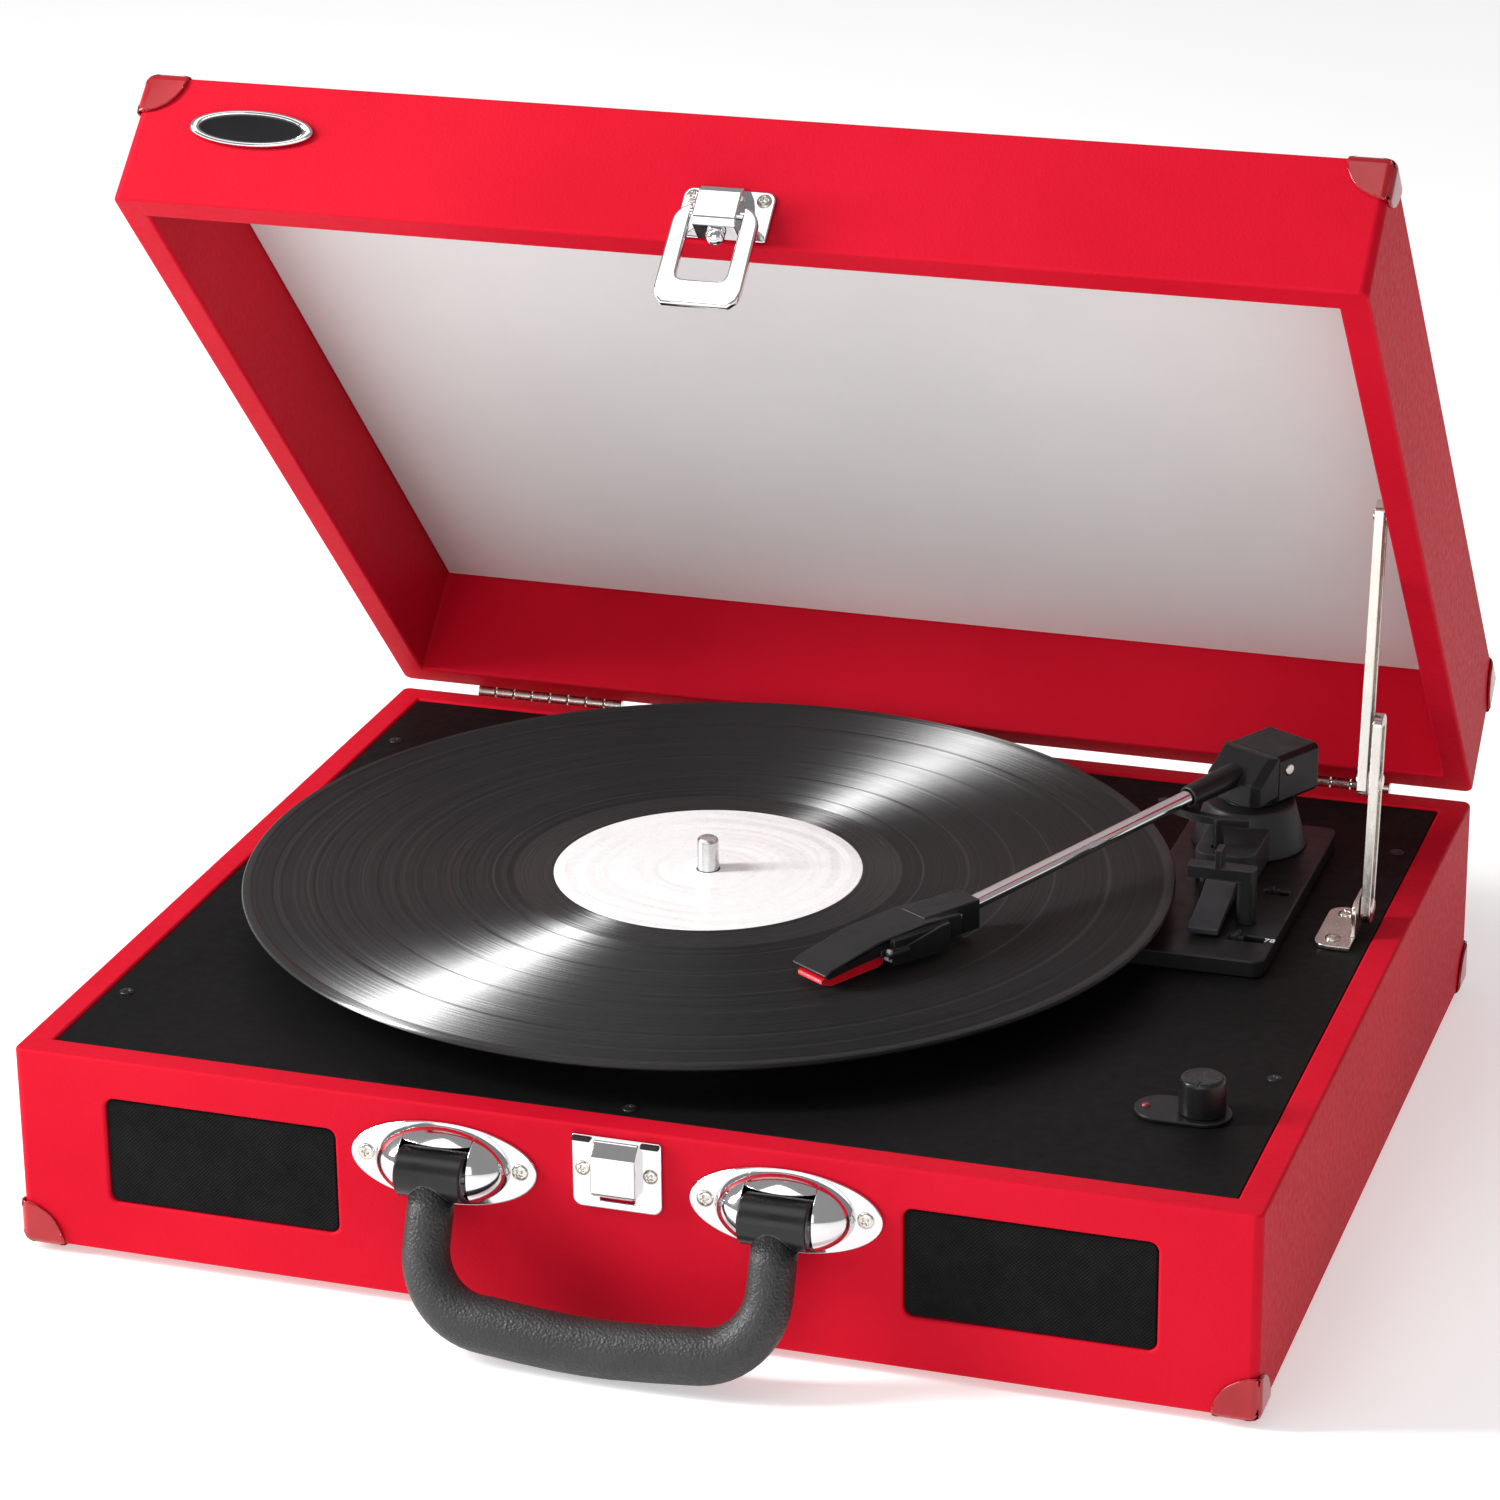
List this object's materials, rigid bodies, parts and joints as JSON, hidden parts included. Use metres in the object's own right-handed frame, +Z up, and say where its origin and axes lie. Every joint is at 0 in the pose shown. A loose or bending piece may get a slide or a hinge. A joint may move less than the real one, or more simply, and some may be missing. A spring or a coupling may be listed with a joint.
{
  "type": "suitcase record player",
  "caption": "Suitcase record player: leatherette case with hinged lid and folding stay, latch, swinging carry handle, belt-driven platter with record, tonearm with cueing lever, front speakers.",
  "frame": {"origin": "middle of the whole object's footprint, on the surface that its feet stand on, with the lid open", "axes": "+Y from the handle side towards the hinges, +Z up, +X to the right seen from the handle side"},
  "size_m": [0.3924, 0.3946, 0.3413],
  "materials": {
    "red_leatherette": "fine-grained matt leatherette over board",
    "red_corner": "glossy moulded corner",
    "black_deck": "matt black",
    "black_plastic": "satin moulded",
    "handle_plastic": "fine leather-grain moulding",
    "chrome": "polished",
    "nickel_steel": "bright nickel plate",
    "speaker_cloth": "woven cloth",
    "black_rubber": "matt",
    "vinyl": "grooved",
    "lining_paper": "flat paper-faced board",
    "fibreboard": "raw hardboard",
    "platter_metal": "turned",
    "bearing_brass": "turned",
    "stylus_plastic": "glossy red",
    "circuit_board": "solder mask",
    "badge_enamel": "dark enamel"
  },
  "bodies": {
    "case": {"base_case": "red_leatherette", "bottom_panel": "fibreboard", "deck_plate": "black_deck", "foot_front_left": "black_rubber", "foot_rear_left": "black_rubber", "foot_front_right": "black_rubber", "foot_rear_right": "black_rubber", "grille_left": "speaker_cloth", "speaker_left": "nickel_steel", "grille_right": "speaker_cloth", "speaker_right": "nickel_steel", "base_corner_front_left": "red_corner", "base_corner_rear_left": "red_corner", "base_corner_front_right": "red_corner", "base_corner_rear_right": "red_corner", "hinge_leaf_base_left": "nickel_steel", "hinge_leaf_base_right": "nickel_steel", "handle_bracket_left": "chrome", "handle_bracket_right": "chrome", "latch_catch": "chrome", "stay_bracket": "nickel_steel", "platter_bearing": "bearing_brass", "motor": "nickel_steel", "drive_belt": "black_rubber", "tonearm_plate": "black_plastic", "tonearm_post": "black_plastic", "arm_rest": "black_plastic", "control_plate": "black_plastic", "circuit_board": "circuit_board", "jack_plate": "black_plastic"},
    "lid": {"hinge_leaf_lid_left": "nickel_steel", "hinge_leaf_lid_right": "nickel_steel", "latch_plate": "chrome", "lid_case": "red_leatherette", "lid_lining": "lining_paper", "lid_corner_front_left": "red_corner", "lid_corner_rear_left": "red_corner", "lid_corner_front_right": "red_corner", "lid_corner_rear_right": "red_corner", "lid_badge": "badge_enamel", "stay_lid_stud": "nickel_steel"},
    "latch_loop": {"latch_loop": "chrome"},
    "handle": {"carry_handle": "handle_plastic"},
    "platter": {"platter": "platter_metal", "slip_mat": "black_rubber", "vinyl_record": "vinyl", "spindle": "nickel_steel"},
    "pulley": {"motor_pulley": "bearing_brass"},
    "tonearm_swivel": {"tonearm_yoke": "black_plastic"},
    "tonearm": {"tonearm_block": "black_plastic", "tonearm_tube": "chrome", "headshell": "black_plastic", "stylus_cartridge": "stylus_plastic"},
    "volume_knob": {"volume_knob": "black_plastic"},
    "speed_slider": {"speed_slider": "black_plastic"},
    "autostop_slider": {"autostop_slider": "black_plastic"},
    "cue_lever": {"cue_lever": "black_plastic"},
    "cue_lift": {"cue_lift": "black_plastic"},
    "stay_lower": {"stay_lower_arm": "nickel_steel"},
    "stay_upper": {"stay_upper_arm": "nickel_steel"}
  },
  "joints": [
    {"name": "lid_hinge", "type": "hinge", "parent": "case", "child": "lid", "pos_m": [0, 0.16421, 0.0688], "axis": [-1, 0, 0], "range_deg": [-47.1, 0]},
    {"name": "stay_lower_fold", "type": "hinge", "parent": "case", "child": "stay_lower", "pos_m": [0.1824, 0.04511, 0.076], "axis": [1, 0, 0], "range_deg": [-59.1, 0]},
    {"name": "stay_upper_fold", "type": "hinge", "parent": "lid", "child": "stay_upper", "pos_m": [0.1786, 0.06331, 0.20159], "axis": [-1, 0, 0], "range_deg": [-55.73, 0]},
    {"name": "latch_loop_swing", "type": "hinge", "parent": "lid", "child": "latch_loop", "pos_m": [0.0015, -0.05901, 0.31841], "axis": [-1, 0, 0], "range_deg": [0, 100]},
    {"name": "handle_swing", "type": "hinge", "parent": "case", "child": "handle", "pos_m": [0, -0.17189, 0.05], "axis": [-1, 0, 0], "range_deg": [0, 95]},
    {"name": "platter_spin", "type": "hinge", "parent": "case", "child": "platter", "pos_m": [-0.0245, 0.00011, 0.073], "axis": [0, 0, -1], "continuous": true},
    {"name": "pulley_spin", "type": "hinge", "parent": "case", "child": "pulley", "pos_m": [-0.05455, 0.05661, 0.069], "axis": [0, 0, -1], "continuous": true},
    {"name": "tonearm_yaw", "type": "hinge", "parent": "case", "child": "tonearm_swivel", "pos_m": [0.1332, 0.09261, 0.089], "axis": [0, 0, 1], "range_deg": [-12, 27]},
    {"name": "tonearm_tilt", "type": "hinge", "parent": "tonearm_swivel", "child": "tonearm", "pos_m": [0.13608, 0.09787, 0.101], "axis": [-0.8771, 0.4802, 0], "range_deg": [0, 3.5]},
    {"name": "cue_lever_swing", "type": "hinge", "parent": "case", "child": "cue_lever", "pos_m": [0.1365, 0.04211, 0.081], "axis": [-1, 0, 0], "range_deg": [0, 20]},
    {"name": "cue_lift_slide", "type": "slide", "parent": "case", "child": "cue_lift", "axis": [0, 0, 1], "range_m": [0, 0.0024]},
    {"name": "volume_turn", "type": "hinge", "parent": "case", "child": "volume_knob", "pos_m": [0.1632, -0.10289, 0.075], "axis": [0, 0, -1], "range_deg": [0, 270]},
    {"name": "speed_slide", "type": "slide", "parent": "case", "child": "speed_slider", "axis": [1, 0, 0], "range_m": [0, 0.006]},
    {"name": "autostop_slide", "type": "slide", "parent": "case", "child": "autostop_slider", "axis": [1, 0, 0], "range_m": [0, 0.003]}
  ],
  "couplings": [
    {"joint": "stay_lower_fold", "follows": "lid_hinge", "ratio": 1.2536},
    {"joint": "stay_upper_fold", "follows": "lid_hinge", "ratio": 1.182},
    {"joint": "pulley_spin", "follows": "platter_spin", "ratio": 7.491},
    {"joint": "tonearm_tilt", "follows": "cue_lever_swing", "ratio": 0.175},
    {"joint": "cue_lift_slide", "follows": "cue_lever_swing", "m_per_rad": 0.0063}
  ]
}
